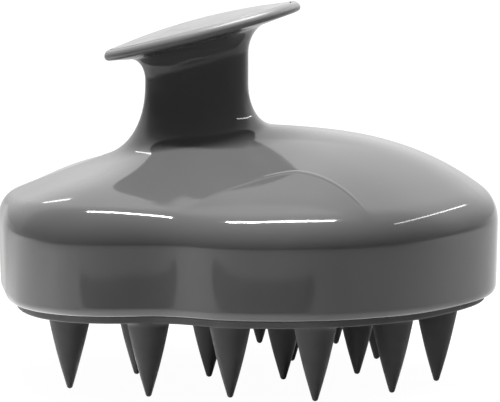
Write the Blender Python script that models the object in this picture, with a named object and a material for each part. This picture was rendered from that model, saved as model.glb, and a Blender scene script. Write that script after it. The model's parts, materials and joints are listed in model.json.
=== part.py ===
"""Scalp massager brush, standing on its bristle tips. Metres, +Z up.

A hollow moulded shell (wall, shoulder, dome, neck and finger paddle in one piece) carries a crowned
cap on the paddle. Under the shell an inner plate, held by four screws, backs a silicone pad, and
twenty-two silicone bristles hang from the pad. Each bristle bends at a ball-shaped root.
The origin is at the centre of the footprint, level with the bristle tips. +X is the long axis,
and the neck stands towards -X.
"""

import math

import bmesh
import bpy
import numpy as np
from mathutils import Vector
from mathutils.bvhtree import BVHTree

MM = 0.001
GAP = 0.3  # clearance between touching solids, mm

# Plan outline of the shell's bottom edge: half of it, in mm, from the -X end to the +X end.
HALF_OUTLINE = (
    (-44.3, 0.0),
    (-41.8, 12.5),
    (-37.0, 25.4),
    (-26.5, 32.8),
    (-10.6, 31.8),
    (1.0, 34.5),
    (14.0, 33.6),
    (27.6, 27.8),
    (37.9, 17.2),
    (44.5, 0.0),
)
SIDES = 48  # points round every lofted ring

# Heights above the bristle tips, mm
SHELL_BOTTOM = 15.0
WALL_TOP = 27.2
NECK_STRAIGHT = 51.5
PAD_BOTTOM = 13.6
PAD_TOP = 17.2
LIP_INSET = 1.2  # how far the pad's lip stands back from the shell's bottom edge at the sides
LIP_END_INSET = 2.0  # the same at the two ends
LIP_EDGE = 0.25
PLATE_BOTTOM = PAD_TOP + GAP
PLATE_TOP = 20.2

# Neck: a vertical oval tube
NECK_X = -9.0
NECK_A = 9.2
NECK_B = 6.5
NECK_WALL = 1.6
SHELL_WALL = 2.0

# Dome section in three directions from the neck, in mm: the root fillet's reach, height and slope,
# the shoulder's inset from the wall, height and slope, and the wall's draft
SECTION_KEYS = ("root", "root_z", "root_slope", "inset", "edge_z", "edge_slope", "draft")
RIGHT_SECTION = (4.4, 44.2, -0.05, 3.2, 33.8, -0.72, 0.2)
LEFT_SECTION = (7.0, 38.6, -0.38, 2.6, 32.1, -0.42, 0.3)
SIDE_SECTION = (5.6, 41.2, -0.46, 4.4, 32.9, -0.46, 0.5)
CORNER_RISE = 1.1  # the shoulder is this much higher at the two corners towards -X
# Lengths of the section curves' handles, as shares of the fillet and the shoulder
FILLET_RISE_SHARE = 0.55
FILLET_REACH_SHARE = 0.6
SHOULDER_DROP_SHARE = 0.5
SHOULDER_REACH_SHARE = 0.6
FOOT_CHAMFER_HEIGHT = 0.6
FOOT_CHAMFER_WIDTH = 0.4

# Finger paddle: an oval plate tilted about Y, rising towards +X
PADDLE_X = -8.1
PADDLE_Z = 60.9
PADDLE_TILT = math.radians(15.0)
PADDLE_A = 18.0
PADDLE_B = 12.0
# Heights below are measured along the paddle's own normal from its middle plane
PADDLE_RIM_TOP = 0.8
PADDLE_RECESS = 0.15
RIM_WIDTH = 1.3
# (inset, height) pairs round the rim, from its top edge to its underside
RIM_PROFILE = ((1.0, PADDLE_RIM_TOP), (0.35, 0.5), (0.0, 0.0), (0.25, -0.65), (0.9, -1.0))
FLARE_DEPTH = 6.0  # where the neck starts to flare
FLARE_TOP = 1.6  # where the flare ends, below the middle plane
FLARE_REACH = 3.4
FLARE_STEPS = 4
CAP_CROWN = 2.1
CAP_RING_SCALES = (0.12, 0.35, 0.55, 0.76, 0.92, 1.0)
PLUG_DEPTH = 7.0

# Bristles
BRISTLE_RADIUS = 3.85
BRISTLE_TIP_RADIUS = 0.8
BRISTLE_TIP_FLAT = 0.3
BRISTLE_TOP_FLAT = 1.6  # height of the flat on top of the ball root, above the root's centre
ROOT_HEIGHT = 13.1  # height of the bending centre above the tips
BRISTLE_STEPS = 12
DIMPLE_RADIUS = BRISTLE_RADIUS + GAP
DIMPLE_CEILING = 3.1
BRISTLES = (
    # front outer row, front inner row, back inner row, back outer row
    ((-28.9, -20.0), (-14.3, -25.5), (-0.3, -24.8), (14.4, -26.2), (27.0, -17.8)),
    ((-30.4, -6.5), (-19.1, -6.5), (-6.0, -7.5), (7.3, -8.5), (19.9, -2.3), (34.2, -7.0)),
    ((-32.4, 5.0), (-19.1, 6.5), (-6.0, 7.5), (7.3, 8.5), (22.5, 11.8), (34.2, 7.0)),
    ((-34.8, 15.0), (-19.5, 25.5), (-0.3, 24.8), (14.0, 25.6), (25.2, 20.8)),
)

# Screws that hold the inner plate to the shell's bosses
SCREW_X = 22.0
SCREW_Y = 15.0
SCREW_HEAD_RADIUS = 2.5
SCREW_HEAD_BOTTOM = 17.7
SCREW_HEAD_TOP = 19.1
SCREW_RADIUS = 1.1
SCREW_TIP = 27.2
PILOT_TOP = 28.2
BOSS_RADIUS = 2.7
BOSS_BOTTOM = PLATE_TOP + GAP
BOSS_BITE = 1.0  # how far a boss runs into the dome's thickness


def clear_scene():
    for obj in list(bpy.data.objects):
        bpy.data.objects.remove(obj, do_unlink=True)


def new_collection(name):
    collection = bpy.data.collections.new(name)
    bpy.context.scene.collection.children.link(collection)
    return collection


def plastic(name, colour, roughness):
    material = bpy.data.materials.new(name)
    material.use_nodes = True
    shader = material.node_tree.nodes["Principled BSDF"]
    shader.inputs["Base Color"].default_value = (*colour, 1.0)
    shader.inputs["Roughness"].default_value = roughness
    shader.inputs["Metallic"].default_value = 0.0
    return material


def add_object(name, mesh, collection, material=None):
    obj = bpy.data.objects.new(name, mesh)
    collection.objects.link(obj)
    if material:
        mesh.materials.append(material)
    return obj


def smooth(mesh, angle):
    mesh.shade_smooth()
    mesh.set_sharp_from_angle(angle=math.radians(angle))


def bezier(start, start_handle, end_handle, end, steps):
    """Points along a cubic, without its first point."""
    start, start_handle = np.array(start, float), np.array(start_handle, float)
    end_handle, end = np.array(end_handle, float), np.array(end, float)
    points = []
    for step in range(1, steps + 1):
        t = step / steps
        a, b, c, d = (1 - t) ** 3, 3 * t * (1 - t) ** 2, 3 * t * t * (1 - t), t**3
        points.append(a * start + b * start_handle + c * end_handle + d * end)
    return points


def closed_spline(points, steps):
    """A centripetal Catmull-Rom curve through a closed loop of points."""
    points = np.array(points, float)
    count = len(points)
    curve = []
    for i in range(count):
        p = [points[(i + k) % count] for k in (-1, 0, 1, 2)]
        knots = [0.0]
        for k in range(3):
            knots.append(knots[-1] + math.sqrt(np.linalg.norm(p[k + 1] - p[k])))
        for t in np.linspace(knots[1], knots[2], steps, endpoint=False):
            a = [(knots[k + 1] - t) * p[k] + (t - knots[k]) * p[k + 1] for k in range(3)]
            a = [a[k] / (knots[k + 1] - knots[k]) for k in range(3)]
            b = [(knots[k + 2] - t) * a[k] + (t - knots[k]) * a[k + 1] for k in range(2)]
            b = [b[k] / (knots[k + 2] - knots[k]) for k in range(2)]
            curve.append(((knots[2] - t) * b[0] + (t - knots[1]) * b[1]) / (knots[2] - knots[1]))
    return np.array(curve)


def angles():
    return np.arange(SIDES) * 2 * math.pi / SIDES


def body_outline():
    """The plan outline sampled at equal angles about the origin, anticlockwise from +X."""
    right_to_left = list(reversed(HALF_OUTLINE))
    mirrored = [(x, -y) for x, y in HALF_OUTLINE[1:-1]]
    curve = closed_spline(right_to_left + mirrored, 40)
    bearing = np.unwrap(np.arctan2(curve[:, 1], curve[:, 0]))
    radius = np.linalg.norm(curve, axis=1)
    wanted = angles()
    reach = np.interp(wanted, bearing, radius, period=2 * math.pi)
    return np.column_stack((reach * np.cos(wanted), reach * np.sin(wanted)))


def offset_outline(outline, distance):
    """The outline moved outwards by a distance, which may differ from point to point."""
    along = np.roll(outline, -1, axis=0) - np.roll(outline, 1, axis=0)
    normal = np.column_stack((along[:, 1], -along[:, 0]))
    normal /= np.linalg.norm(normal, axis=1)[:, None]
    return outline + normal * np.reshape(distance, (-1, 1))


def oval(centre_x, a, b):
    return np.column_stack((centre_x + a * np.cos(angles()), b * np.sin(angles())))


def section_value(key):
    """A dome section value for every angle, blended between the right, side and left directions."""
    c = np.cos(angles())
    right = np.clip(c, 0, 1) ** 2
    left = np.clip(-c, 0, 1) ** 2
    side = 1 - right - left
    column = SECTION_KEYS.index(key)
    return right * RIGHT_SECTION[column] + left * LEFT_SECTION[column] + side * SIDE_SECTION[column]


def at_height(flat, height):
    """A flat outline as a ring of 3-D points."""
    return np.column_stack((flat, np.full(len(flat), height)))


def paddle_point(u, v, w):
    """From the paddle's own axes (along, across, normal) to the world, in mm."""
    c, s = math.cos(PADDLE_TILT), math.sin(PADDLE_TILT)
    return np.column_stack((PADDLE_X + u * c - w * s, v, PADDLE_Z + u * s + w * c))


def paddle_ring(inset, w, scale=1.0):
    """The paddle's oval, set in by the inset and scaled, at a height w along its normal."""
    t = angles()
    u = (PADDLE_A - inset) * scale * np.cos(t)
    v = (PADDLE_B - inset) * scale * np.sin(t)
    return paddle_point(u, v, np.full(SIDES, w))


def neck_ring(wall, w, reach=0.0):
    """The neck's oval, cut by a plane parallel to the paddle, then moved outwards in that plane."""
    flat = oval(NECK_X, NECK_A - wall, NECK_B - wall)
    c, s = math.cos(PADDLE_TILT), math.sin(PADDLE_TILT)
    height = PADDLE_Z + (w + (flat[:, 0] - PADDLE_X) * s) / c
    t = angles()
    out = np.column_stack((np.cos(t) * c, np.sin(t), np.cos(t) * s))
    return np.column_stack((flat, height)) + reach * out


def dome_rings():
    """Outer rings from the foot of the straight neck down to the top of the wall."""
    neck = oval(NECK_X, NECK_A, NECK_B)
    shoulder = offset_outline(body_outline(), section_value("draft"))
    reach = np.linalg.norm(shoulder - neck, axis=1)
    outwards = (shoulder - neck) / reach[:, None]
    values = np.array([section_value(key) for key in SECTION_KEYS])
    turns = angles()
    corner = np.clip(-np.sin(2 * turns) * np.sign(np.sin(turns)), 0, 1)
    values[SECTION_KEYS.index("edge_z")] += CORNER_RISE * corner**2
    columns = []
    for i in range(SIDES):
        root, root_z, root_slope, inset, edge_z, edge_slope, _ = values[:, i]
        edge = reach[i] - inset
        third = (edge - root) / 3
        fillet_up = FILLET_RISE_SHARE * (NECK_STRAIGHT - root_z)
        fillet_in = FILLET_REACH_SHARE * root
        turn_down = SHOULDER_DROP_SHARE * (edge_z - WALL_TOP)
        turn_in = SHOULDER_REACH_SHARE * inset
        column = [np.array((0.0, NECK_STRAIGHT))]
        column += bezier(
            column[-1],
            (0.0, NECK_STRAIGHT - fillet_up),
            (root - fillet_in, root_z - root_slope * fillet_in),
            (root, root_z),
            5,
        )
        column += bezier(
            column[-1],
            (root + third, root_z + root_slope * third),
            (edge - third, edge_z - edge_slope * third),
            (edge, edge_z),
            6,
        )
        column += bezier(
            column[-1],
            (edge + turn_in, edge_z + edge_slope * turn_in),
            (reach[i], WALL_TOP + turn_down),
            (reach[i], WALL_TOP),
            4,
        )
        columns.append(column)
    columns = np.array(columns)
    rings = []
    for k in range(columns.shape[1]):
        flat = neck + outwards * columns[:, k, 0][:, None]
        rings.append(np.column_stack((flat, columns[:, k, 1])))
    return rings


def inward_offset(rings, thickness):
    """Each ring moved inwards along the surface's normal; the end rings use one-sided slopes."""
    grid = np.array(rings)
    down = np.gradient(grid, axis=0)
    round_ = np.roll(grid, -1, axis=1) - np.roll(grid, 1, axis=1)
    normal = np.cross(down, round_)
    normal /= np.linalg.norm(normal, axis=2)[:, :, None]
    return [grid[k] - normal[k] * thickness[k] for k in range(len(rings))]


def loft(name, rings, closed, collection, material=None):
    """A mesh through rings of equal size. A closed loft joins the last ring to the first; an open one
    is capped with a flat face at both ends."""
    bm = bmesh.new()
    loops = [[bm.verts.new(Vector(p) * MM) for p in ring] for ring in rings]
    pairs = list(zip(loops, loops[1:] + loops[:1])) if closed else list(zip(loops, loops[1:]))
    for upper, lower in pairs:
        for i in range(len(upper)):
            j = (i + 1) % len(upper)
            bm.faces.new((upper[i], upper[j], lower[j], lower[i]))
    if not closed:
        bm.faces.new(list(reversed(loops[0])))
        bm.faces.new(loops[-1])
    bmesh.ops.recalc_face_normals(bm, faces=bm.faces)
    mesh = bpy.data.meshes.new(name)
    bm.to_mesh(mesh)
    bm.free()
    return add_object(name, mesh, collection, material)


def turned_mesh(name, profile, steps):
    """A turned solid from (radius, height) pairs in mm, starting and ending on the axis."""
    bm = bmesh.new()
    verts = [bm.verts.new((r * MM, 0.0, z * MM)) for r, z in profile]
    edges = [bm.edges.new(pair) for pair in zip(verts, verts[1:])]
    bmesh.ops.spin(
        bm,
        geom=verts + edges,
        axis=(0, 0, 1),
        cent=(0, 0, 0),
        angle=2 * math.pi,
        steps=steps,
        use_merge=True,
    )
    bmesh.ops.remove_doubles(bm, verts=bm.verts, dist=0.01 * MM)
    bmesh.ops.recalc_face_normals(bm, faces=bm.faces)
    mesh = bpy.data.meshes.new(name)
    bm.to_mesh(mesh)
    bm.free()
    return mesh


def repeated_mesh(name, source, places):
    """One mesh that holds a copy of the source at each (x, y, z) place, in mm."""
    bm = bmesh.new()
    for place in places:
        first = len(bm.verts)
        bm.from_mesh(source)
        bm.verts.ensure_lookup_table()
        bmesh.ops.translate(bm, verts=bm.verts[first:], vec=Vector(place) * MM)
    mesh = bpy.data.meshes.new(name)
    bm.to_mesh(mesh)
    bm.free()
    return mesh


def boolean(obj, cutter, operation):
    modifier = obj.modifiers.new(cutter.name, "BOOLEAN")
    modifier.operation = operation
    modifier.solver = "EXACT"
    modifier.object = cutter
    cutter.hide_render = True
    cutter.display_type = "WIRE"


def screw_places():
    return [(x, y, 0.0) for x in (-SCREW_X, SCREW_X) for y in (-SCREW_Y, SCREW_Y)]


def bristle_places():
    """Root centres of all the bristles, in mm, row after row."""
    return [place for row in BRISTLES for place in row]


def make_upper_shell(parts, cutters, material):
    outer = [paddle_ring(inset, height) for inset, height in RIM_PROFILE]
    flare = []
    for step in range(FLARE_STEPS + 1):
        turn = math.pi / 2 * (1 - step / FLARE_STEPS)
        w = -FLARE_DEPTH + (FLARE_DEPTH - FLARE_TOP) * math.sin(turn)
        flare.append(neck_ring(0.0, w, FLARE_REACH * (1 - math.cos(turn))))
    outer.append(0.5 * (flare[0] + outer[-1]))
    outer += flare
    body = dome_rings()
    outline = body_outline()
    draft = section_value("draft")
    middle = offset_outline(outline, 0.5 * draft)
    body.append(at_height(middle, 0.5 * (WALL_TOP + SHELL_BOTTOM)))
    body.append(at_height(outline, SHELL_BOTTOM + FOOT_CHAMFER_HEIGHT))
    thickness = [NECK_WALL] * 3 + [SHELL_WALL] * (len(body) - 3)
    inner = inward_offset(body, thickness)
    inner[0] = at_height(oval(NECK_X, NECK_A - NECK_WALL, NECK_B - NECK_WALL), NECK_STRAIGHT)
    inner[-1] = at_height(offset_outline(outline, -SHELL_WALL), SHELL_BOTTOM + FOOT_CHAMFER_HEIGHT)
    rings = outer + body
    rings.append(at_height(offset_outline(outline, -FOOT_CHAMFER_WIDTH), SHELL_BOTTOM))
    rings.append(at_height(offset_outline(outline, -SHELL_WALL), SHELL_BOTTOM))
    rings += reversed(inner)
    rings.append(neck_ring(NECK_WALL, PADDLE_RECESS))
    rings.append(paddle_ring(RIM_WIDTH, PADDLE_RECESS))
    rings.append(paddle_ring(RIM_WIDTH, PADDLE_RIM_TOP))
    shell = loft("upper_shell", rings, True, parts, material)

    bosses = boss_posts(shell.data)
    boolean(shell, add_object("boss_posts", bosses, cutters), "UNION")
    pilot_profile = [(0, BOSS_BOTTOM - 1), (SCREW_RADIUS + GAP, BOSS_BOTTOM - 1)]
    pilot_profile += [(SCREW_RADIUS + GAP, PILOT_TOP), (0, PILOT_TOP)]
    pilots = repeated_mesh("boss_pilots", turned_mesh("pilot", pilot_profile, 12), screw_places())
    boolean(shell, add_object("boss_pilots", pilots, cutters), "DIFFERENCE")
    smooth(shell.data, 40)
    return shell


def boss_posts(shell_mesh):
    """Four posts whose tops follow the dome's inside and run into its thickness."""
    polygons = [p.vertices for p in shell_mesh.polygons]
    dome = BVHTree.FromPolygons([v.co for v in shell_mesh.vertices], polygons)
    post = turned_mesh("boss_post", [(0, 0), (BOSS_RADIUS, 0), (BOSS_RADIUS, 1), (0, 1)], 16)
    places = [(x, y, BOSS_BOTTOM) for x, y, _ in screw_places()]
    posts = repeated_mesh("boss_posts", post, places)
    for vertex in posts.vertices:
        if vertex.co.z > (BOSS_BOTTOM + 0.5) * MM:
            inside = dome.ray_cast(vertex.co, Vector((0, 0, 1)))[0]
            vertex.co.z = inside.z + BOSS_BITE * MM
    return posts


def make_handle_cap(parts, material):
    edge = RIM_WIDTH + GAP
    floor = PADDLE_RECESS + GAP
    plug_wall = NECK_WALL + GAP
    rings = []
    for scale in CAP_RING_SCALES:
        crown = (CAP_CROWN - PADDLE_RIM_TOP) * (1 - scale**2)
        rings.append(paddle_ring(edge, PADDLE_RIM_TOP + crown, scale))
    rings.append(paddle_ring(edge, floor))
    rings.append(neck_ring(plug_wall, floor))
    rings.append(neck_ring(plug_wall, -PLUG_DEPTH))
    cap = loft("handle_cap", rings, False, parts, material)
    smooth(cap.data, 40)
    return cap


def make_carrier_plate(parts, cutters, material):
    outline = offset_outline(body_outline(), -SHELL_WALL - GAP)
    rings = [at_height(outline, PLATE_TOP), at_height(outline, PLATE_BOTTOM)]
    plate = loft("carrier_plate", rings, False, parts, material)
    seat = SCREW_HEAD_TOP + GAP
    hole = SCREW_RADIUS + GAP
    head = SCREW_HEAD_RADIUS + GAP
    profile = [(0, PLATE_BOTTOM - 1), (head, PLATE_BOTTOM - 1), (head, seat), (hole, seat)]
    profile += [(hole, PLATE_TOP + 1), (0, PLATE_TOP + 1)]
    holes = repeated_mesh("plate_holes", turned_mesh("plate_hole", profile, 16), screw_places())
    boolean(plate, add_object("plate_holes", holes, cutters), "DIFFERENCE")
    return plate


def make_carrier_screws(parts, material):
    profile = [(0, SCREW_HEAD_BOTTOM), (SCREW_HEAD_RADIUS - 0.5, SCREW_HEAD_BOTTOM)]
    profile += [(SCREW_HEAD_RADIUS, SCREW_HEAD_BOTTOM + 0.5), (SCREW_HEAD_RADIUS, SCREW_HEAD_TOP)]
    profile += [(SCREW_RADIUS, SCREW_HEAD_TOP), (SCREW_RADIUS, SCREW_TIP - 1.2), (0, SCREW_TIP)]
    mesh = turned_mesh("screw", profile, 12)
    mesh.materials.append(material)
    smooth(mesh, 35)
    for number, place in enumerate(screw_places(), start=1):
        screw = add_object(f"carrier_screw_{number}", mesh, parts)
        screw.location = Vector(place) * MM


def make_bristle_pad(parts, cutters, material):
    outline = body_outline()
    inside = offset_outline(outline, -SHELL_WALL - GAP)
    lip_top = SHELL_BOTTOM - GAP
    rings = [at_height(inside, PAD_TOP), at_height(inside, lip_top)]
    inset = LIP_INSET + (LIP_END_INSET - LIP_INSET) * np.cos(angles()) ** 2
    rings.append(at_height(offset_outline(outline, -inset), lip_top))
    rings.append(at_height(offset_outline(outline, -inset), PAD_BOTTOM + LIP_EDGE))
    rings.append(at_height(offset_outline(outline, -inset - LIP_EDGE), PAD_BOTTOM))
    pad = loft("bristle_pad", rings, False, parts, material)
    profile = ball_profile(DIMPLE_RADIUS, DIMPLE_CEILING) + [(DIMPLE_RADIUS, -2.0), (0, -2.0)]
    places = [(x, y, ROOT_HEIGHT) for x, y in bristle_places()]
    dimples = repeated_mesh("pad_dimples", turned_mesh("dimple", profile, BRISTLE_STEPS), places)
    boolean(pad, add_object("pad_dimples", dimples, cutters), "DIFFERENCE")
    return pad


def ball_profile(radius, flat_height, steps=4):
    """The upper side of a ball, cut flat at a height above its centre, as (radius, height) pairs."""
    highest = math.asin(flat_height / radius)
    arc = [highest * (steps - k) / steps for k in range(steps + 1)]
    return [(0, flat_height)] + [(radius * math.cos(a), radius * math.sin(a)) for a in arc]


def bristle_profile():
    """Ball root, straight cone and rounded tip with a small flat, from the root's centre downwards."""
    tip_centre = -ROOT_HEIGHT + BRISTLE_TIP_RADIUS
    lean = math.asin((BRISTLE_RADIUS - BRISTLE_TIP_RADIUS) / -tip_centre)
    lowest = -math.acos(BRISTLE_TIP_FLAT / BRISTLE_TIP_RADIUS)
    arc = [-lean + (lowest + lean) * k / 3 for k in range(4)]
    tip = [(BRISTLE_TIP_RADIUS * math.cos(a), tip_centre + BRISTLE_TIP_RADIUS * math.sin(a)) for a in arc]
    drop = -ROOT_HEIGHT - tip[-1][1]
    tip = [(r, z + drop) for r, z in tip]
    return ball_profile(BRISTLE_RADIUS, BRISTLE_TOP_FLAT, 3) + tip + [(0, tip[-1][1])]


def make_bristles(parts, material):
    """Each bristle is its own object on the one mesh, with its origin at its bending centre."""
    mesh = turned_mesh("bristle", bristle_profile(), BRISTLE_STEPS)
    mesh.materials.append(material)
    smooth(mesh, 35)
    for number, (x, y) in enumerate(bristle_places(), start=1):
        bristle = add_object(f"bristle_{number:02d}", mesh, parts)
        bristle.location = Vector((x, y, ROOT_HEIGHT)) * MM


def main():
    clear_scene()
    parts = new_collection("scalp_massager_brush")
    cutters = new_collection("cutters")
    gloss = plastic("gloss_grey_plastic", (0.12, 0.12, 0.12), 0.12)
    cap_gloss = plastic("cap_grey_plastic", (0.13, 0.13, 0.13), 0.16)
    inner = plastic("inner_black_plastic", (0.04, 0.04, 0.04), 0.5)
    silicone = plastic("grey_silicone", (0.09, 0.09, 0.09), 0.55)
    bristle_silicone = plastic("bristle_silicone", (0.09, 0.09, 0.09), 0.5)
    steel = plastic("screw_steel", (0.55, 0.55, 0.56), 0.35)
    steel.node_tree.nodes["Principled BSDF"].inputs["Metallic"].default_value = 1.0
    make_upper_shell(parts, cutters, gloss)
    make_handle_cap(parts, cap_gloss)
    make_carrier_plate(parts, cutters, inner)
    make_carrier_screws(parts, steel)
    make_bristle_pad(parts, cutters, silicone)
    make_bristles(parts, bristle_silicone)


main()
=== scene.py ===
"""Looks of the scalp massager brush: fine meshes, materials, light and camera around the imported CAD."""
import json
import math

import bmesh
import bpy
import numpy as np
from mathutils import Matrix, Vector


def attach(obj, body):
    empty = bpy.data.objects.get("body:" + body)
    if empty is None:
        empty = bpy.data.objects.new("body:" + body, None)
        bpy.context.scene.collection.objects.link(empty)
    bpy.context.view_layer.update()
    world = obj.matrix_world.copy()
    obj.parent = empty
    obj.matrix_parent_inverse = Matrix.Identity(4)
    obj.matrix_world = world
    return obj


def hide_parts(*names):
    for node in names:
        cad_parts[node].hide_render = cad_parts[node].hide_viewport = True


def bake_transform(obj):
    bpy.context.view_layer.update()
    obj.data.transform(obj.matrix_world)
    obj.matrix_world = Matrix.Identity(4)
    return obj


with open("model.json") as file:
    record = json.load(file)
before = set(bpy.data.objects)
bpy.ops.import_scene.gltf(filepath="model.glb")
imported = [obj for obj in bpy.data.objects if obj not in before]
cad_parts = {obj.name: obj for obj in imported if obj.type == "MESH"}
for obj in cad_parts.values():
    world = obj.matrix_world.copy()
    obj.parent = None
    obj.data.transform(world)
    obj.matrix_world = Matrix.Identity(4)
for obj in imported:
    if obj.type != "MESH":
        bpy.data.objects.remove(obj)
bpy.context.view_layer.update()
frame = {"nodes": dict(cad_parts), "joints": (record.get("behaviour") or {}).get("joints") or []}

MM = 0.001
HEAD = "brush_head"

# Plan outline of the shell's bottom edge: half of it, in mm, from the -X end to the +X end
HALF_OUTLINE = (
    (-44.3, 0.0),
    (-41.8, 12.5),
    (-37.0, 25.4),
    (-26.5, 32.8),
    (-10.6, 31.8),
    (1.0, 34.5),
    (14.0, 33.6),
    (27.6, 27.8),
    (37.9, 17.2),
    (44.5, 0.0),
)
SIDES = 256  # points round each ring of the shell, the cap and the pad
OUTLINE_HARMONICS = 14  # waves kept when the outline is smoothed
OUTLINE_STEPS = 60

# Heights above the bristle tips, mm
SHELL_BOTTOM = 15.0
WALL_TOP = 27.2
NECK_STRAIGHT = 51.5
PAD_BOTTOM = 13.6
PAD_TOP = 17.2
LIP_INSET = 1.2  # how far the pad's lip stands back from the shell's bottom edge at the sides
LIP_END_INSET = 2.0  # the same at the two ends
LIP_GAP = 0.08
LIP_CHAMFER = 0.15
LIP_ROUND = 0.45
SHELL_WALL = 2.0
FOOT_HEIGHT = 1.7  # of the rounding at the wall's bottom edge
FOOT_WIDTH = 0.8
GAP = 0.3  # clearance round the cap and the pad inside the shell

# Neck, a vertical oval tube, mm
NECK_X = -9.0
NECK_A = 9.2
NECK_B = 6.5
NECK_WALL = 1.6

# Dome section in three directions from the neck, in mm: the root fillet's reach, height and slope,
# the shoulder's inset from the wall, height and slope, and the wall's draft
SECTION_KEYS = ("root", "root_z", "root_slope", "inset", "edge_z", "edge_slope", "draft")
RIGHT_SECTION = (4.4, 44.2, -0.05, 3.2, 33.8, -0.72, 0.2)
LEFT_SECTION = (7.0, 38.6, -0.38, 2.6, 32.1, -0.42, 0.3)
SIDE_SECTION = (5.6, 41.2, -0.46, 4.4, 32.9, -0.46, 0.5)
# Lengths of the section curves' handles, as shares of the fillet and the shoulder
FILLET_RISE_SHARE = 0.55
FILLET_REACH_SHARE = 0.6
SHOULDER_DROP_SHARE = 0.5
SHOULDER_REACH_SHARE = 0.6
CORNER_RISE = 1.1  # the shoulder is this much higher at the two corners towards -X
# Finger facet on each flank: the shoulder widens into a steeper lens under an arched crease, mm
CREASE_X = 8.0
CREASE_HALF_LENGTH = 16.5
CREASE_PEAK_Y = 20.4
CREASE_SKEW = 0.18  # moves the arch's peak towards +X, as a share of its half length
CREASE_POWER = 1.6  # shape of the arch: 2 is a parabola, less is more pointed
RIDGE_Y = 29.0  # where the facet meets the shoulder's ridge
FLANK_TOP_Y = 8.0  # where the lift starts beside the neck
CREASE_HEIGHT = 0.85
CREASE_RADIUS = 0.05
LINE_HALF_WIDTH = 0.65  # of the fine raised line along the crease
LINE_HEIGHT = 0.06
# Satin paddle rim: where it starts along the paddle's normal, in mm, its added roughness and its paler tone,
# which is painted light on the rim
RIM_SATIN_AND_LIGHT_LOW = -1.15
RIM_SATIN_AND_LIGHT_HIGH = -0.85
RIM_SATIN = 0.32
RIM_PAINTED_LIGHT = 0.08
# Painted shade on the neck's top under the paddle, as weaker reflections: the heights between which it sets
# in, in mm, and the gloss that it takes away
NECK_PAINTED_SHADE_LOW = 44.0
NECK_PAINTED_SHADE_HIGH = 50.0
NECK_PAINTED_SHADE = 0.3

# Finger paddle, an oval plate tilted about Y; heights are along its own normal from its middle plane, mm
PADDLE_X = -8.1
PADDLE_Z = 60.9
PADDLE_TILT = math.radians(15.0)
PADDLE_A = 18.0
PADDLE_B = 12.0
RIM_TOP = 0.8
RIM_MIDDLE = -0.3
RIM_UNDER = -1.0
RIM_BEVEL = 0.95
RIM_ROUND = 0.7
BEVEL_POWER = 1.15
RIM_WIDTH = 1.3
RIM_INNER_CHAMFER = 0.1
RECESS = 0.15  # floor of the recess that holds the cap
FLARE_DEPTH = 6.0  # where the neck starts to flare
FLARE_TOP = 1.6  # where the flare ends
FLARE_REACH = 3.4
FLARE_STEPS = 15
CAP_EDGE_TOP = 0.85
CAP_CROWN = 2.1
CAP_RINGS = 22
CAP_CROWN_SCALE = 0.985  # the crown's outermost ring, as a share of the cap's size
PLUG_DEPTH = 7.0

# Bristles
BRISTLE_RADIUS = 3.85
BRISTLE_TIP_RADIUS = 0.55
BRISTLE_SWELL = 0.16  # how far the cone bulges out halfway down
ROOT_SPREAD = 1.17  # how far the root fillet spreads beyond the cone
ROOT_FILLET = 1.3
ROOT_SINK = 0.25  # how far the root reaches into the pad
BRISTLE_SIDES = 40

# Studio, in m. The table's glow in reflections as (bearing from the front in degrees, level)
TABLE_GLOW = (
    (-180, 0.7),
    (-130, 0.9),
    (-106, 1.9),
    (-54, 2.3),
    (-36, 1.6),
    (-14, 1.15),
    (5, 1.0),
    (36, 0.85),
    (66, 1.2),
    (94, 1.25),
    (112, 1.4),
    (180, 1.0),
)
# Shares that this glow loses far off in front and at the sides and gains close in front, and the
# distances between which that sets in
FAR_SIDES_DIM = 0.8
FAR_SIDES_START = 0.25
FAR_SIDES_END = 0.42
FAR_FRONT_DIM = 0.9
FAR_FRONT_START = 0.14
FAR_FRONT_END = 0.28
NEAR_FRONT_LIFT = 1.2
NEAR_FRONT_START = 0.085
NEAR_FRONT_END = 0.05
# A darker oval on the table in front, cut off at a straight far edge
PATCH_DIM = 0.6
PATCH_X = -0.005
PATCH_Y = -0.115
PATCH_HALF_WIDTH = 0.054
PATCH_NEAR = 0.03
PATCH_FAR = 0.06
PATCH_EDGE_Y = -0.119
PATCH_EDGE_BLUR = 0.003
MIRROR_SPOKES = 480
MIRROR_ROWS = 260
MIRROR_INNER = 0.02
MIRROR_OUTER = 3.0
MIRROR_Z = -0.0004
STRIP_DISTANCE = 0.6
LEFT_BOX = Vector((-0.55, -0.36, 0.03))
FLAG_DISTANCE = 0.15
FLAG_HALF_WIDTH = 0.15
FLAG_BOTTOM = 0.036
FLAG_HEIGHT = 0.16
FLOOR_HALF = 6.0
BOUNCE_HALF = 0.8
BOUNCE_Z = -0.0008
BACKDROP_RADIUS = 5.0
# World light as (position, level): Y from front to back, X from left to right, Z from the horizon up
WORLD_DEPTH = ((0.0, 0.06), (0.4, 0.1), (0.58, 0.3), (0.7, 0.8), (1.0, 1.0))
WORLD_ACROSS = ((0.0, 0.64), (0.42, 0.76), (0.5, 0.93), (1.0, 1.0))
WORLD_RISE = ((0.0, 0.45), (0.12, 0.62), (0.3, 0.9), (0.45, 1.0), (1.0, 1.0))
WORLD_STRENGTH = 1.98
# Camera
LENS = 212.4
CAMERA_AZIMUTH = math.radians(6.0)
CAMERA_DISTANCE = 0.52
CAMERA_HEIGHT = 0.105
CAMERA_AIM = 0.0305
CAMERA_SHIFT_X = 0.0005


# ---------------------------------------------------------------- geometry helpers


def bezier(start, start_handle, end_handle, end, steps):
    """Rows of points along cubics that start and end at rows of points, without the first row."""
    rows = []
    for step in range(1, steps + 1):
        t = step / steps
        near, far = 3 * t * (1 - t) ** 2, 3 * t * t * (1 - t)
        rows.append((1 - t) ** 3 * start + near * start_handle + far * end_handle + t**3 * end)
    return rows


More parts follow.
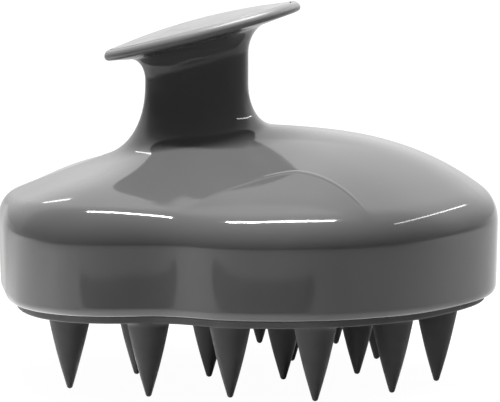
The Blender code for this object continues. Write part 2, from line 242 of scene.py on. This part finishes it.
def closed_spline(points, steps):
    """A centripetal Catmull-Rom curve through a closed loop of points."""
    points = np.array(points, float)
    count = len(points)
    curve = []
    for i in range(count):
        p = [points[(i + k) % count] for k in (-1, 0, 1, 2)]
        knots = [0.0]
        for k in range(3):
            knots.append(knots[-1] + math.sqrt(np.linalg.norm(p[k + 1] - p[k])))
        for t in np.linspace(knots[1], knots[2], steps, endpoint=False):
            a = [(knots[k + 1] - t) * p[k] + (t - knots[k]) * p[k + 1] for k in range(3)]
            a = [a[k] / (knots[k + 1] - knots[k]) for k in range(3)]
            b = [(knots[k + 2] - t) * a[k] + (t - knots[k]) * a[k + 1] for k in range(2)]
            b = [b[k] / (knots[k + 2] - knots[k]) for k in range(2)]
            curve.append(((knots[2] - t) * b[0] + (t - knots[1]) * b[1]) / (knots[2] - knots[1]))
    return np.array(curve)


THETA = np.arange(SIDES) * 2 * math.pi / SIDES


def body_outline():
    """The plan outline at equal angles about the origin, smoothed so that it reflects cleanly."""
    mirrored = [(x, -y) for x, y in HALF_OUTLINE[1:-1]]
    curve = closed_spline(list(reversed(HALF_OUTLINE)) + mirrored, OUTLINE_STEPS)
    bearing = np.unwrap(np.arctan2(curve[:, 1], curve[:, 0]))
    reach = np.interp(THETA, bearing, np.linalg.norm(curve, axis=1), period=2 * math.pi)
    waves = np.fft.rfft(reach)
    waves[OUTLINE_HARMONICS:] = 0
    reach = np.fft.irfft(waves, SIDES)
    return np.column_stack((reach * np.cos(THETA), reach * np.sin(THETA)))


def offset_outline(outline, distance):
    along = np.roll(outline, -1, axis=0) - np.roll(outline, 1, axis=0)
    normal = np.column_stack((along[:, 1], -along[:, 0]))
    normal /= np.linalg.norm(normal, axis=1)[:, None]
    return outline + normal * np.reshape(distance, (-1, 1))


def at_height(flat, height):
    return np.column_stack((flat, np.full(len(flat), height)))


def section_value(key):
    """A dome section value for every angle, blended between the right, side and left directions."""
    c = np.cos(THETA)
    right, left = np.clip(c, 0, 1) ** 2, np.clip(-c, 0, 1) ** 2
    column = SECTION_KEYS.index(key)
    side = (1 - right - left) * SIDE_SECTION[column]
    return right * RIGHT_SECTION[column] + left * LEFT_SECTION[column] + side


def neck_oval(wall):
    return np.column_stack((NECK_X + (NECK_A - wall) * np.cos(THETA), (NECK_B - wall) * np.sin(THETA)))


def paddle_ring(inset, w, scale=1.0):
    """An oval in the paddle's own plane at a height w along its normal, in world axes, mm."""
    c, s = math.cos(PADDLE_TILT), math.sin(PADDLE_TILT)
    u = (PADDLE_A - inset) * scale * np.cos(THETA)
    v = (PADDLE_B - inset) * scale * np.sin(THETA)
    return np.column_stack((PADDLE_X + u * c - w * s, v, PADDLE_Z + u * s + w * c))


def neck_ring(wall, w, reach=0.0):
    """The neck's oval cut by a plane parallel to the paddle, then moved outwards in that plane."""
    flat = neck_oval(wall)
    c, s = math.cos(PADDLE_TILT), math.sin(PADDLE_TILT)
    height = PADDLE_Z + (w + (flat[:, 0] - PADDLE_X) * s) / c
    out = np.column_stack((np.cos(THETA) * c, np.sin(THETA), np.cos(THETA) * s))
    return np.column_stack((flat, height)) + reach * out


def smoothstep(low, high, value):
    t = np.clip((value - low) / (high - low), 0, 1)
    return t * t * (3 - 2 * t)


def raise_crease(ring):
    """Lifts a ring towards the arched crease on either flank, which leaves a steeper facet below it."""
    along = (ring[:, 0] - CREASE_X) / CREASE_HALF_LENGTH
    along = along - CREASE_SKEW * (1 - along**2)
    across = np.abs(ring[:, 1])
    arch = np.clip(1 - np.abs(along) ** CREASE_POWER, 0, 1)
    crease = RIDGE_Y - (RIDGE_Y - CREASE_PEAK_Y) * arch
    below = (RIDGE_Y - across) / (RIDGE_Y - crease + 0.01)
    above = (across - FLANK_TOP_Y) / (crease - FLANK_TOP_Y)
    tent = 0.5 * (below + above - np.sqrt((below - above) ** 2 + CREASE_RADIUS**2))
    lifted = ring.copy()
    lifted[:, 2] += CREASE_HEIGHT * arch * np.clip(tent + 0.25 * CREASE_RADIUS, 0, 1)
    return lifted


def dome_rings(outline):
    """Outer rings from the straight neck down to the top of the wall."""
    neck = neck_oval(0.0)
    shoulder = offset_outline(outline, section_value("draft"))
    reach = np.linalg.norm(shoulder - neck, axis=1)
    outwards = (shoulder - neck) / reach[:, None]
    root, root_z, root_slope = (section_value(k) for k in ("root", "root_z", "root_slope"))
    inset, edge_z, edge_slope = (section_value(k) for k in ("inset", "edge_z", "edge_slope"))
    edge = reach - inset
    edge_z = edge_z + CORNER_RISE * np.clip(-np.sin(2 * THETA) * np.sign(np.sin(THETA)), 0, 1) ** 2
    third = (edge - root) / 3
    fillet_in = FILLET_REACH_SHARE * root
    turn_in = SHOULDER_REACH_SHARE * inset
    zero = np.zeros(SIDES)
    neck_z = zero + NECK_STRAIGHT
    wall_z = zero + WALL_TOP

    def pair(distance, height):
        return np.column_stack((distance, height))

    top, foot = pair(zero, neck_z), pair(root, root_z)
    brow, wall = pair(edge, edge_z), pair(reach, wall_z)
    sections = [top]
    sections += bezier(
        top,
        pair(zero, neck_z - FILLET_RISE_SHARE * (neck_z - root_z)),
        pair(root - fillet_in, root_z - root_slope * fillet_in),
        foot,
        14,
    )
    sections += bezier(
        foot,
        pair(root + third, root_z + root_slope * third),
        pair(edge - third, edge_z - edge_slope * third),
        brow,
        34,
    )
    sections += bezier(
        brow,
        pair(edge + turn_in, edge_z + edge_slope * turn_in),
        pair(reach, wall_z + SHOULDER_DROP_SHARE * (edge_z - wall_z)),
        wall,
        18,
    )
    return [raise_crease(np.column_stack((neck + outwards * s[:, :1], s[:, 1]))) for s in sections]


def inward_offset(rings, thickness):
    grid = np.array(rings)
    down = np.gradient(grid, axis=0)
    around = np.roll(grid, -1, axis=1) - np.roll(grid, 1, axis=1)
    normal = np.cross(down, around)
    normal /= np.linalg.norm(normal, axis=2)[:, :, None]
    return [ring - n * t for ring, n, t in zip(grid, normal, thickness)]


def add_loft(bm, rings, closed):
    """Adds a loft through the rings to bm. An open one is capped at both ends."""
    loops = [[bm.verts.new(Vector(p) * MM) for p in ring] for ring in rings]
    following = loops[1:] + loops[:1] if closed else loops[1:]
    for upper, lower in zip(loops, following):
        for i in range(len(upper)):
            j = (i + 1) % len(upper)
            bm.faces.new((upper[i], upper[j], lower[j], lower[i]))
    if not closed:
        for loop, order in ((loops[0], -1), (loops[-1], 1)):
            middle = bm.verts.new(sum((v.co for v in loop), Vector()) / len(loop))
            for i in range(len(loop)):
                corner = (loop[i], loop[(i + 1) % len(loop)], middle)
                bm.faces.new(corner[::order])


def finished(name, bm, material, sharp=40):
    """The object that bm's mesh becomes: faces out, shaded smooth except at real edges."""
    bmesh.ops.recalc_face_normals(bm, faces=bm.faces)
    mesh = bpy.data.meshes.new(name)
    bm.to_mesh(mesh)
    bm.free()
    mesh.shade_smooth()
    mesh.set_sharp_from_angle(angle=math.radians(sharp))
    mesh.materials.append(material)
    piece = bpy.data.objects.new(name, mesh)
    bpy.context.scene.collection.objects.link(piece)
    return piece


# ---------------------------------------------------------------- materials


def new_material(name, colour, roughness, specular=0.5):
    material = bpy.data.materials.new(name)
    material.use_nodes = True
    shader = material.node_tree.nodes["Principled BSDF"]
    shader.inputs["Base Color"].default_value = (*colour, 1.0)
    shader.inputs["Roughness"].default_value = roughness
    shader.inputs["Specular IOR Level"].default_value = specular
    return material, material.node_tree, shader


def noise(tree, scale, detail=2.0, roughness=0.5, distortion=0.0):
    coordinates = tree.nodes.new("ShaderNodeTexCoord")
    texture = tree.nodes.new("ShaderNodeTexNoise")
    texture.inputs["Scale"].default_value = scale
    texture.inputs["Detail"].default_value = detail
    texture.inputs["Roughness"].default_value = roughness
    texture.inputs["Distortion"].default_value = distortion
    tree.links.new(coordinates.outputs["Object"], texture.inputs["Vector"])
    return texture.outputs["Fac"]


def ramp(tree, value, stops):
    """A colour ramp over value; each stop is (position, grey level)."""
    node = tree.nodes.new("ShaderNodeValToRGB")
    elements = node.color_ramp.elements
    for element, (position, level) in zip(elements, (stops[0], stops[-1])):
        element.position = position
        element.color = (level, level, level, 1)
    for position, level in stops[1:-1]:
        element = elements.new(position)
        element.color = (level, level, level, 1)
    tree.links.new(value, node.inputs["Fac"])
    return node.outputs["Color"]


def bump(tree, shader, heights):
    """Chains bumps onto the shader; each height is (value, distance in metres, strength)."""
    normal = None
    for value, distance, strength in heights:
        node = tree.nodes.new("ShaderNodeBump")
        node.inputs["Distance"].default_value = distance
        node.inputs["Strength"].default_value = strength
        tree.links.new(value, node.inputs["Height"])
        if normal is not None:
            tree.links.new(normal, node.inputs["Normal"])
        normal = node.outputs["Normal"]
    tree.links.new(normal, shader.inputs["Normal"])


def number(tree, operation, first, second=0.0):
    """A Math node; each input is a socket or a number."""
    node = tree.nodes.new("ShaderNodeMath")
    node.operation = operation
    for socket, value in zip(node.inputs, (first, second)):
        if isinstance(value, bpy.types.NodeSocket):
            tree.links.new(value, socket)
        else:
            socket.default_value = value
    return node.outputs[0]


def step_up(tree, value, low, high):
    """0 below low, 1 above high, a soft step between them."""
    node = tree.nodes.new("ShaderNodeMapRange")
    node.interpolation_type = "SMOOTHSTEP"
    node.inputs["From Min"].default_value = low
    node.inputs["From Max"].default_value = high
    tree.links.new(value, node.inputs["Value"])
    return node.outputs["Result"]


def object_axes(tree):
    coordinates = tree.nodes.new("ShaderNodeTexCoord")
    split = tree.nodes.new("ShaderNodeSeparateXYZ")
    tree.links.new(coordinates.outputs["Object"], split.inputs["Vector"])
    return split.outputs


def crease_line(tree):
    """A fine raised line along the crease over each flank's facet, 1 on its crest and 0 away from it."""
    x, y, _ = object_axes(tree)
    along = number(tree, "DIVIDE", number(tree, "SUBTRACT", x, CREASE_X * MM), CREASE_HALF_LENGTH * MM)
    middle = number(tree, "SUBTRACT", 1.0, number(tree, "MULTIPLY", along, along))
    skewed = number(tree, "SUBTRACT", along, number(tree, "MULTIPLY", middle, CREASE_SKEW))
    fall = number(tree, "POWER", number(tree, "ABSOLUTE", skewed), CREASE_POWER)
    arch = number(tree, "MAXIMUM", number(tree, "SUBTRACT", 1.0, fall), 0.0)
    rise = number(tree, "MULTIPLY", arch, (RIDGE_Y - CREASE_PEAK_Y) * MM)
    crease = number(tree, "SUBTRACT", RIDGE_Y * MM, rise)
    away = number(tree, "SUBTRACT", number(tree, "ABSOLUTE", y), crease)
    near = step_up(tree, number(tree, "ABSOLUTE", away), LINE_HALF_WIDTH * MM, 0.0)
    return number(tree, "MULTIPLY", near, step_up(tree, arch, 0.1, 0.5))


def paddle_heights(tree):
    """Height above the paddle's middle plane, in metres, and height above the table."""
    x, _, z = object_axes(tree)
    across = number(tree, "MULTIPLY", number(tree, "SUBTRACT", x, PADDLE_X * MM), -math.sin(PADDLE_TILT))
    up = number(tree, "MULTIPLY", number(tree, "SUBTRACT", z, PADDLE_Z * MM), math.cos(PADDLE_TILT))
    return number(tree, "ADD", across, up), z


def shell_plastic(name, level, gloss, grain):
    """The gloss shell: a satin paddle rim with painted light in its paler tone, painted shade as weaker
    reflections on the neck under it, and the fine line over each facet.
    """
    material = gloss_plastic(name, level, gloss, grain, crease_line)
    tree = material.node_tree
    shader = tree.nodes["Principled BSDF"]
    above, z = paddle_heights(tree)
    rim = step_up(tree, above, RIM_SATIN_AND_LIGHT_LOW * MM, RIM_SATIN_AND_LIGHT_HIGH * MM)
    # The rim's extra roughness is its satin finish; its paler base colour is painted light.
    for key, more in (("Roughness", RIM_SATIN), ("Base Color", RIM_PAINTED_LIGHT)):
        plain = shader.inputs[key].links[0].from_socket
        tree.links.new(number(tree, "ADD", plain, number(tree, "MULTIPLY", rim, more)), shader.inputs[key])
    # Painted shade: the neck's top under the paddle reflects less.
    high = number(tree, "MULTIPLY", step_up(tree, z, NECK_PAINTED_SHADE_LOW * MM, NECK_PAINTED_SHADE_HIGH * MM), -NECK_PAINTED_SHADE)
    paddle_shade = number(tree, "MULTIPLY", high, number(tree, "SUBTRACT", 1.0, rim))
    tree.links.new(number(tree, "ADD", 0.5, paddle_shade), shader.inputs["Specular IOR Level"])
    return material


def gloss_plastic(name, level, gloss, grain, line=None):
    """Moulded ABS with a polished skin: faint flow marks in tone and gloss, and slight mould waviness."""
    material, tree, shader = new_material(name, (level, level, level), gloss)
    flow = noise(tree, 38, 3.0, 0.55, 0.6)
    tone = ramp(tree, flow, ((0.3, level * 0.94), (0.7, level * 1.06)))
    tree.links.new(tone, shader.inputs["Base Color"])
    smudge = noise(tree, 95, 4.0, 0.6, 1.2)
    shine = ramp(tree, smudge, ((0.35, gloss * 0.8), (0.62, gloss * 1.15), (0.8, gloss * 1.7)))
    tree.links.new(shine, shader.inputs["Roughness"])
    heights = [(noise(tree, 60, 1.0), 0.00006, 0.35), (noise(tree, 2600, 2.0), 0.000004, grain)]
    if line:
        heights.append((line(tree), LINE_HEIGHT * MM, 1.0))
    bump(tree, shader, heights)
    return material


def silicone(name, level):
    """Soft matte silicone: cloudy tone and a fine satin grain."""
    material, tree, shader = new_material(name, (level, level, level), 0.55, 0.06)
    cloud = noise(tree, 120, 3.0, 0.6)
    tone = ramp(tree, cloud, ((0.3, level * 0.86), (0.7, level * 1.14)))
    tree.links.new(tone, shader.inputs["Base Color"])
    satin = noise(tree, 700, 3.0)
    shine = ramp(tree, satin, ((0.3, 0.42), (0.7, 0.58)))
    tree.links.new(shine, shader.inputs["Roughness"])
    grain = noise(tree, 3200, 3.0)
    bump(tree, shader, ((satin, 0.00002, 0.3), (grain, 0.000012, 0.35)))
    return material


def matte_plastic(name, level):
    """Unpolished inner moulding with a spark-eroded texture."""
    material, tree, shader = new_material(name, (level, level, level), 0.55)
    tone = ramp(tree, noise(tree, 200, 3.0), ((0.3, level * 0.8), (0.7, level * 1.2)))
    tree.links.new(tone, shader.inputs["Base Color"])
    bump(tree, shader, ((noise(tree, 1800, 4.0), 0.00004, 0.5),))
    return material


def screw_steel(name):
    """Zinc-plated steel with fine turning marks."""
    material, tree, shader = new_material(name, (0.55, 0.55, 0.56), 0.35)
    shader.inputs["Metallic"].default_value = 1.0
    tree.links.new(ramp(tree, noise(tree, 900, 4.0), ((0.3, 0.25), (0.7, 0.5))), shader.inputs["Roughness"])
    tree.links.new(ramp(tree, noise(tree, 400, 2.0), ((0.2, 0.48), (0.8, 0.62))), shader.inputs["Base Color"])
    bump(tree, shader, ((noise(tree, 2500, 3.0), 0.00001, 0.4),))
    return material


# ---------------------------------------------------------------- pieces


def rim_arc(steps):
    """The paddle's rim as (inset, height) pairs: a soft bevel above, a small radius below."""
    pairs = []
    for k in range(2 * steps + 1):
        turn = math.radians(90 - 90 * k / steps)
        if turn > 0:
            spread = math.cos(turn) ** BEVEL_POWER if k else 0.0
            rise = math.sin(turn) ** BEVEL_POWER
            pairs.append((RIM_BEVEL * (1 - spread), RIM_MIDDLE + (RIM_TOP - RIM_MIDDLE) * rise))
        else:
            drop = (RIM_MIDDLE - RIM_UNDER) * math.sin(turn)
            pairs.append((RIM_ROUND * (1 - math.cos(turn)), RIM_MIDDLE + drop))
    return pairs


def make_shell(material):
    outline = body_outline()
    rings = [paddle_ring(inset, w) for inset, w in rim_arc(12)]
    flare = []
    for k in range(FLARE_STEPS + 1):
        turn = math.radians(90 - 90 * k / FLARE_STEPS)
        height = -FLARE_DEPTH + (FLARE_DEPTH - FLARE_TOP) * math.sin(turn)
        flare.append((height, FLARE_REACH * (1 - math.cos(turn))))
    flare_rings = [neck_ring(0.0, w, reach) for w, reach in flare]
    for k in range(1, 6):
        t = k / 6
        rings.append((1 - t) * paddle_ring(RIM_ROUND, RIM_UNDER) + t * flare_rings[0])
    rings += flare_rings
    body = dome_rings(outline)
    foot = SHELL_BOTTOM + FOOT_HEIGHT
    for k in range(1, 9):
        t = k / 8
        flat = offset_outline(outline, section_value("draft") * (1 - t))
        body.append(at_height(flat, WALL_TOP + (foot - WALL_TOP) * t))
    rings += body
    for k in range(1, 11):
        turn = math.radians(9 * k)
        flat = offset_outline(outline, -FOOT_WIDTH * (1 - math.cos(turn)))
        rings.append(at_height(flat, foot - FOOT_HEIGHT * math.sin(turn)))
    inner = inward_offset(body, [NECK_WALL] * 3 + [SHELL_WALL] * (len(body) - 3))
    inner[-1] = at_height(offset_outline(outline, -SHELL_WALL), foot)
    rings.append(at_height(offset_outline(outline, -SHELL_WALL), SHELL_BOTTOM))
    rings += list(reversed(inner[2::4] + [inner[-1]]))
    rings.append(at_height(neck_oval(NECK_WALL), NECK_STRAIGHT))
    rings.append(neck_ring(NECK_WALL, RECESS))
    rings.append(paddle_ring(RIM_WIDTH, RECESS))
    rings.append(paddle_ring(RIM_WIDTH, RIM_TOP - RIM_INNER_CHAMFER))
    rings.append(paddle_ring(RIM_WIDTH - 0.02, RIM_TOP - 0.02))
    bm = bmesh.new()
    add_loft(bm, rings, True)
    shell = finished("shell_surface", bm, material)
    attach(shell, HEAD)
    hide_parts("upper_shell")
    return shell


def make_cap(material):
    edge = RIM_WIDTH + GAP
    rings = []
    for k in range(1, CAP_RINGS + 1):
        scale = k / CAP_RINGS * CAP_CROWN_SCALE
        height = CAP_EDGE_TOP + (CAP_CROWN - CAP_EDGE_TOP) * (1 - scale**2)
        rings.append(paddle_ring(edge, height, scale))
    rings.append(paddle_ring(edge, CAP_EDGE_TOP - 0.06, 0.996))
    rings.append(paddle_ring(edge, CAP_EDGE_TOP - 0.2))
    rings.append(paddle_ring(edge, RECESS + GAP))
    rings.append(neck_ring(NECK_WALL + GAP, RECESS + GAP))
    rings.append(neck_ring(NECK_WALL + GAP, -PLUG_DEPTH))
    bm = bmesh.new()
    add_loft(bm, rings, False)
    cap = finished("cap_surface", bm, material)
    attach(cap, HEAD)
    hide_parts("handle_cap")
    return cap


def make_pad(material):
    outline = body_outline()
    inside = offset_outline(outline, -SHELL_WALL - GAP)
    inset = LIP_INSET + (LIP_END_INSET - LIP_INSET) * np.cos(THETA) ** 2
    lip_top = SHELL_BOTTOM - LIP_GAP
    rings = [at_height(inside, PAD_TOP), at_height(inside, lip_top)]
    rings.append(at_height(offset_outline(outline, -inset - LIP_CHAMFER), lip_top))
    rings.append(at_height(offset_outline(outline, -inset), lip_top - LIP_CHAMFER))
    for k in range(7):
        turn = math.radians(15 * k)
        flat = offset_outline(outline, -inset - LIP_ROUND * (1 - math.cos(turn)))
        rings.append(at_height(flat, PAD_BOTTOM + LIP_ROUND * (1 - math.sin(turn))))
    bm = bmesh.new()
    add_loft(bm, rings, False)
    pad = finished("pad_surface", bm, material)
    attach(pad, HEAD)
    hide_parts("bristle_pad")
    return pad


def bristle_profile():
    """(radius, height) pairs from the root down: a fillet into the pad, a swelling cone and a round tip."""
    lean = math.atan2(BRISTLE_RADIUS - BRISTLE_TIP_RADIUS, PAD_BOTTOM - BRISTLE_TIP_RADIUS)
    foot = PAD_BOTTOM - ROOT_FILLET
    foot_radius = BRISTLE_RADIUS - ROOT_FILLET * math.tan(lean)
    widest = BRISTLE_RADIUS + ROOT_SPREAD
    profile = [(widest, PAD_BOTTOM + ROOT_SINK)]
    for k in range(9):
        turn = math.radians(90 * k / 8)
        spread = (widest - foot_radius) * (1 - math.sin(turn))
        profile.append((foot_radius + spread, PAD_BOTTOM - ROOT_FILLET * (1 - math.cos(turn))))
    tip_edge = BRISTLE_TIP_RADIUS * math.cos(lean)
    tip_height = BRISTLE_TIP_RADIUS * (1 - math.sin(lean))
    for k in range(1, 18):
        t = k / 18
        swell = BRISTLE_SWELL * math.sin(math.pi * t)
        profile.append((foot_radius + (tip_edge - foot_radius) * t + swell, foot + (tip_height - foot) * t))
    for k in range(9):
        turn = -lean - (math.radians(82) - lean) * k / 8
        profile.append((BRISTLE_TIP_RADIUS * math.cos(turn), BRISTLE_TIP_RADIUS * (1 + math.sin(turn))))
    return profile


def make_bristles(material):
    around = np.arange(BRISTLE_SIDES) * 2 * math.pi / BRISTLE_SIDES
    for joint in frame["joints"]:
        node = joint["child"].removesuffix("_body")
        x, y = (joint["pos_m"][k] / MM for k in (0, 1))
        rings = []
        for radius, height in bristle_profile():
            ring = (x + radius * np.cos(around), y + radius * np.sin(around), np.full(BRISTLE_SIDES, height))
            rings.append(np.column_stack(ring))
        bm = bmesh.new()
        add_loft(bm, rings, False)
        bristle = finished(f"{node}_soft", bm, material, sharp=60)
        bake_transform(bristle)
        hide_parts(node)


def paint_hidden_parts():
    inner = matte_plastic("inner_plastic", 0.04)
    steel = screw_steel("screw_steel")
    for name, node in frame["nodes"].items():
        if name == "carrier_plate" or name.startswith("carrier_screw"):
            node.data.materials.clear()
            node.data.materials.append(inner if name == "carrier_plate" else steel)


# ---------------------------------------------------------------- stage


def stage_plane(name, corners, material, camera_only=False, hidden_from_camera=False):
    """A flat card of the studio, hidden from the camera or from everything else as asked."""
    mesh = bpy.data.meshes.new(name)
    mesh.from_pydata(corners, [], [tuple(range(len(corners)))])
    mesh.materials.append(material)
    card = bpy.data.objects.new(name, mesh)
    bpy.context.scene.collection.objects.link(card)
    card.visible_camera = not hidden_from_camera
    if camera_only:
        card.visible_diffuse = False
        card.visible_glossy = False
        card.visible_transmission = False
        card.visible_shadow = False
    return card


def glow(name, level, diffuse=0.0):
    """A surface that gives off light of its own, with an optional share of plain diffuse paint."""
    material, _, shader = new_material(name, (diffuse, diffuse, diffuse), 1.0, 0.0)
    shader.inputs["Emission Color"].default_value = (1, 1, 1, 1)
    shader.inputs["Emission Strength"].default_value = level
    return material


def square(half, z):
    return [(-half, -half, z), (half, -half, z), (half, half, z), (-half, half, z)]


def floor_glow(x, y):
    """What the shell mirrors of the table: brightest to the left and close in front, dim far off."""
    bearing = np.degrees(np.arctan2(x, -y))
    level = np.interp(bearing, *zip(*TABLE_GLOW))
    reach = np.hypot(x, y)
    front = smoothstep(100, 50, np.abs(bearing))
    sides = smoothstep(150, 100, np.abs(bearing))
    level *= 1 - FAR_SIDES_DIM * sides * smoothstep(FAR_SIDES_START, FAR_SIDES_END, reach)
    level *= 1 - FAR_FRONT_DIM * front * smoothstep(FAR_FRONT_START, FAR_FRONT_END, reach)
    level *= 1 + NEAR_FRONT_LIFT * front * smoothstep(NEAR_FRONT_START, NEAR_FRONT_END, reach)
    half = np.where(y > PATCH_Y, PATCH_NEAR, PATCH_FAR)
    oval = ((x - PATCH_X) / PATCH_HALF_WIDTH) ** 2 + ((y - PATCH_Y) / half) ** 2
    cut = smoothstep(PATCH_EDGE_Y - PATCH_EDGE_BLUR, PATCH_EDGE_Y + PATCH_EDGE_BLUR, y)
    return level * (1 - PATCH_DIM * smoothstep(1.15, 0.85, oval) * cut)


def mirror_floor():
    """A table top that only reflections see, its glow held in the mesh."""
    radii = MIRROR_INNER * (MIRROR_OUTER / MIRROR_INNER) ** (np.arange(MIRROR_ROWS) / (MIRROR_ROWS - 1))
    turns = np.arange(MIRROR_SPOKES) * 2 * math.pi / MIRROR_SPOKES
    x = np.outer(radii, np.sin(turns)).ravel()
    y = -np.outer(radii, np.cos(turns)).ravel()
    first = np.arange((MIRROR_ROWS - 1) * MIRROR_SPOKES)
    after = first - first % MIRROR_SPOKES + (first % MIRROR_SPOKES + 1) % MIRROR_SPOKES
    quads = np.column_stack((first, after, after + MIRROR_SPOKES, first + MIRROR_SPOKES))
    mesh = bpy.data.meshes.new("table_mirror")
    mesh.from_pydata(np.column_stack((x, y, np.full(x.size, MIRROR_Z))).tolist(), [], quads.tolist())
    level = floor_glow(x, y)
    layer = mesh.color_attributes.new("glow", "FLOAT_COLOR", "POINT")
    layer.data.foreach_set("color", np.column_stack((level, level, level, np.ones(x.size))).ravel())
    material = glow("table_paint", 1.0)
    tree = material.node_tree
    paint = tree.nodes.new("ShaderNodeVertexColor")
    paint.layer_name = "glow"
    tree.links.new(paint.outputs["Color"], tree.nodes["Principled BSDF"].inputs["Emission Color"])
    mesh.materials.append(material)
    card = bpy.data.objects.new("table_mirror", mesh)
    bpy.context.scene.collection.objects.link(card)
    card.visible_camera = False
    card.visible_diffuse = False
    card.visible_shadow = False


def strip(name, bearing, elevation, length, width, tilt, level):
    """A thin bright card that only reflections see, facing the brush from the given direction (degrees)."""
    toward = Vector((
        math.sin(math.radians(bearing)) * math.cos(math.radians(elevation)),
        -math.cos(math.radians(bearing)) * math.cos(math.radians(elevation)),
        math.sin(math.radians(elevation)),
    ))
    turn = (-toward).to_track_quat("-Z", "Y").to_matrix()
    c, s = math.cos(math.radians(tilt)), math.sin(math.radians(tilt))
    corners = []
    for u, v in ((-1, -1), (1, -1), (1, 1), (-1, 1)):
        a, b = u * length / 2, v * width / 2
        corners.append(toward * STRIP_DISTANCE + turn @ Vector((a * c - b * s, a * s + b * c, 0)))
    card = stage_plane(name, corners, glow(f"{name}_paint", level), hidden_from_camera=True)
    card.visible_diffuse = False
    card.visible_shadow = False


def left_flag():
    """A card that only casts a shadow, to keep the left lamp off the neck."""
    outwards = Vector((LEFT_BOX.x, LEFT_BOX.y, 0)).normalized()
    sideways = Vector((outwards.y, -outwards.x, 0)) * FLAG_HALF_WIDTH
    foot = outwards * FLAG_DISTANCE + Vector((0, 0, FLAG_BOTTOM))
    top = foot + Vector((0, 0, FLAG_HEIGHT))
    corners = [foot - sideways, foot + sideways, top + sideways, top - sideways]
    paint = glow("flag_paint", 0.0)
    card = stage_plane("left_flag", corners, paint, camera_only=True, hidden_from_camera=True)
    card.visible_shadow = True


def make_floor():
    """The floor that the camera sees, and one that only bounces light."""
    stage_plane("floor", square(FLOOR_HALF, 0.0), glow("floor_paint", 0.97, 0.1), camera_only=True)
    paint = glow("bounce_paint", 0.0, 0.2)
    bounce = stage_plane("bounce_floor", square(BOUNCE_HALF, BOUNCE_Z), paint, hidden_from_camera=True)
    bounce.visible_glossy = False


def make_backdrop():
    """A pale sphere all round that only the camera sees."""
    backdrop = bmesh.new()
    bmesh.ops.create_uvsphere(backdrop, u_segments=32, v_segments=16, radius=BACKDROP_RADIUS)
    dome = finished("backdrop", backdrop, glow("backdrop_paint", 1.05))
    for ray in ("diffuse", "glossy", "transmission", "shadow"):
        setattr(dome, f"visible_{ray}", False)


def make_stage():
    left_flag()
    make_floor()
    mirror_floor()
    strip("right_strip", bearing=104, elevation=40, length=0.5, width=0.016, tilt=-18, level=18.0)
    strip("left_strip", bearing=-150, elevation=40, length=0.11, width=0.012, tilt=112, level=12.0)
    make_backdrop()


def make_world():
    """Light from behind and above, more of it from the right, and a dark front."""
    world = bpy.data.worlds.new("studio")
    world.use_nodes = True
    tree = world.node_tree
    background = tree.nodes["Background"]
    coordinates = tree.nodes.new("ShaderNodeTexCoord")
    split = tree.nodes.new("ShaderNodeSeparateXYZ")
    tree.links.new(coordinates.outputs["Generated"], split.inputs["Vector"])
    light = ramp(tree, remap(tree, split.outputs["Y"]), WORLD_DEPTH)
    across = ramp(tree, remap(tree, split.outputs["X"]), WORLD_ACROSS)
    rise = ramp(tree, split.outputs["Z"], WORLD_RISE)
    for factor in (across, rise):
        product = tree.nodes.new("ShaderNodeMath")
        product.operation = "MULTIPLY"
        tree.links.new(light, product.inputs[0])
        tree.links.new(factor, product.inputs[1])
        light = product.outputs[0]
    tree.links.new(light, background.inputs["Color"])
    background.inputs["Strength"].default_value = WORLD_STRENGTH
    bpy.context.scene.world = world


def remap(tree, value):
    """From -1..1 to 0..1."""
    node = tree.nodes.new("ShaderNodeMapRange")
    node.inputs["From Min"].default_value = -1.0
    node.inputs["From Max"].default_value = 1.0
    tree.links.new(value, node.inputs["Value"])
    return node.outputs["Result"]


def area_light(name, place, target, size, power):
    light = bpy.data.lights.new(name, "AREA")
    light.shape = "RECTANGLE"
    light.size, light.size_y = size
    light.energy = power
    lamp = bpy.data.objects.new(name, light)
    bpy.context.scene.collection.objects.link(lamp)
    lamp.location = place
    lamp.rotation_euler = (Vector(target) - Vector(place)).to_track_quat("-Z", "Y").to_euler()
    return lamp


def make_lights():
    area_light("overhead", (0.02, -0.02, 0.75), target=(0.02, 0.0, 0.03), size=(0.38, 0.03), power=10.5)
    side = area_light("left_box", LEFT_BOX, target=(0, 0, 0.012), size=(0.3, 0.05), power=1.9)
    side.visible_glossy = False


def make_camera():
    camera = bpy.data.cameras.new("camera")
    camera.sensor_width = 36.0
    camera.lens = LENS
    camera.clip_start = 0.01
    camera.clip_end = 20.0
    view = bpy.data.objects.new("camera", camera)
    bpy.context.scene.collection.objects.link(view)
    x = CAMERA_DISTANCE * math.sin(CAMERA_AZIMUTH) + CAMERA_SHIFT_X
    view.location = (x, -CAMERA_DISTANCE * math.cos(CAMERA_AZIMUTH), CAMERA_HEIGHT)
    down = math.atan((CAMERA_HEIGHT - CAMERA_AIM) / CAMERA_DISTANCE)
    view.rotation_euler = (math.pi / 2 - down, 0, CAMERA_AZIMUTH)
    bpy.context.scene.camera = view


make_camera()
make_stage()
make_world()
make_lights()
bpy.context.scene.view_settings.view_transform = "Standard"
make_shell(shell_plastic("shell_gloss", level=0.10, gloss=0.07, grain=0.2))
make_cap(gloss_plastic("cap_gloss", level=0.2, gloss=0.36, grain=0.8))
# Painted light: the pad is the bristles' silicone, made paler so that its lip looks lit.
make_pad(silicone("pad_silicone_painted_lighter", level=0.12))
make_bristles(silicone("bristle_silicone", level=0.09))
paint_hidden_parts()
